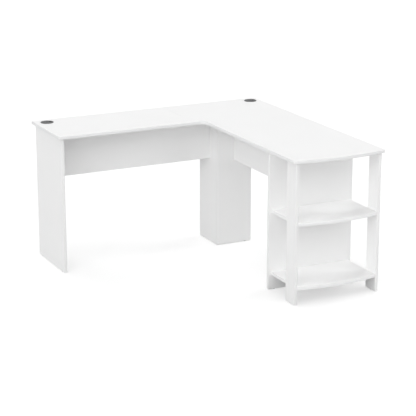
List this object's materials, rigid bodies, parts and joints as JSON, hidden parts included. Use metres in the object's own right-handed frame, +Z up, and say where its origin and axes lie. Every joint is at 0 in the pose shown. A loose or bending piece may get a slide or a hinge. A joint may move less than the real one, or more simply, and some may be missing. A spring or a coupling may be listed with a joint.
{
  "type": "corner desk",
  "caption": "White L-shaped corner desk with a bowed front, an open shelf unit, a corner leg, modesty panels and round cable grommets.",
  "frame": {"origin": "on the floor, under the middle of the desk's bounding box", "axes": "+X runs along the left wing from its free end to the outer corner, +Y to the back, +Z up; the right wing runs towards -Y"},
  "size_m": [1.3, 1.352, 0.7198],
  "materials": {
    "white_laminate": "white melamine on particle board, satin, with matching edge banding",
    "black_plastic": "black moulded plastic, satin",
    "zinc_casting": "bright zinc casting",
    "plated_steel": "zinc-plated steel",
    "grey_plastic": "grey moulded plastic"
  },
  "bodies": {
    "root": {"bracket_left_modesty_1": "plated_steel", "bracket_left_modesty_2": "plated_steel", "bracket_right_modesty": "plated_steel", "bracket_shelf_back": "plated_steel", "cam_bolt_end_panel_lower": "plated_steel", "cam_bolt_end_panel_upper": "plated_steel", "cam_bolt_leg_corner_lower": "plated_steel", "cam_bolt_leg_corner_upper": "plated_steel", "cam_bolt_leg_front_lower": "plated_steel", "cam_bolt_leg_front_upper": "plated_steel", "cam_bolt_leg_side_lower": "plated_steel", "cam_bolt_leg_side_upper": "plated_steel", "cam_bolt_lower_shelf_left": "plated_steel", "cam_bolt_lower_shelf_right": "plated_steel", "cam_bolt_shelf_back_lower": "plated_steel", "cam_bolt_shelf_back_upper": "plated_steel", "cam_bolt_upper_shelf_left": "plated_steel", "cam_bolt_upper_shelf_right": "plated_steel", "cam_lock_end_panel_lower": "zinc_casting", "cam_lock_end_panel_upper": "zinc_casting", "cam_lock_leg_corner_lower": "zinc_casting", "cam_lock_leg_corner_upper": "zinc_casting", "cam_lock_leg_front_lower": "zinc_casting", "cam_lock_leg_front_upper": "zinc_casting", "cam_lock_leg_side_lower": "zinc_casting", "cam_lock_leg_side_upper": "zinc_casting", "cam_lock_lower_shelf_left": "zinc_casting", "cam_lock_lower_shelf_right": "zinc_casting", "cam_lock_shelf_back_lower": "zinc_casting", "cam_lock_shelf_back_upper": "zinc_casting", "cam_lock_upper_shelf_left": "zinc_casting", "cam_lock_upper_shelf_right": "zinc_casting", "corner_grommet_sleeve": "black_plastic", "front_left_post": "white_laminate", "front_right_post": "white_laminate", "glide_front_left_post": "grey_plastic", "glide_front_right_post": "grey_plastic", "glide_left_end_panel_1": "grey_plastic", "glide_left_end_panel_2": "grey_plastic", "glide_leg_front_panel": "grey_plastic", "glide_leg_side_panel": "grey_plastic", "glide_shelf_back_panel_1": "grey_plastic", "glide_shelf_back_panel_2": "grey_plastic", "left_end_panel": "white_laminate", "left_grommet_sleeve": "black_plastic", "left_modesty_panel": "white_laminate", "leg_front_panel": "white_laminate", "leg_side_panel": "white_laminate", "lower_shelf": "white_laminate", "right_modesty_panel": "white_laminate", "seam_plate_back": "plated_steel", "seam_plate_front": "plated_steel", "shelf_back_panel": "white_laminate", "top_left_wing": "white_laminate", "top_right_wing": "white_laminate", "upper_shelf": "white_laminate"},
    "left_cap": {"left_grommet_cap": "black_plastic"},
    "left_door": {"left_grommet_door": "black_plastic"},
    "corner_cap": {"corner_grommet_cap": "black_plastic"},
    "corner_door": {"corner_grommet_door": "black_plastic"}
  },
  "joints": [
    {"name": "left_cap_lift", "type": "slide", "parent": "root", "child": "left_cap", "axis": [0, 0, 1], "range_m": [0, 0.03]},
    {"name": "left_door_turn", "type": "hinge", "parent": "left_cap", "child": "left_door", "pos_m": [-0.589, 0.607, 0.715], "axis": [0, 0, 1], "range_deg": [-90, 0]},
    {"name": "corner_cap_lift", "type": "slide", "parent": "root", "child": "corner_cap", "axis": [0, 0, 1], "range_m": [0, 0.03]},
    {"name": "corner_door_turn", "type": "hinge", "parent": "corner_cap", "child": "corner_door", "pos_m": [0.589, 0.607, 0.715], "axis": [0, 0, 1], "range_deg": [-90, 0]}
  ]
}
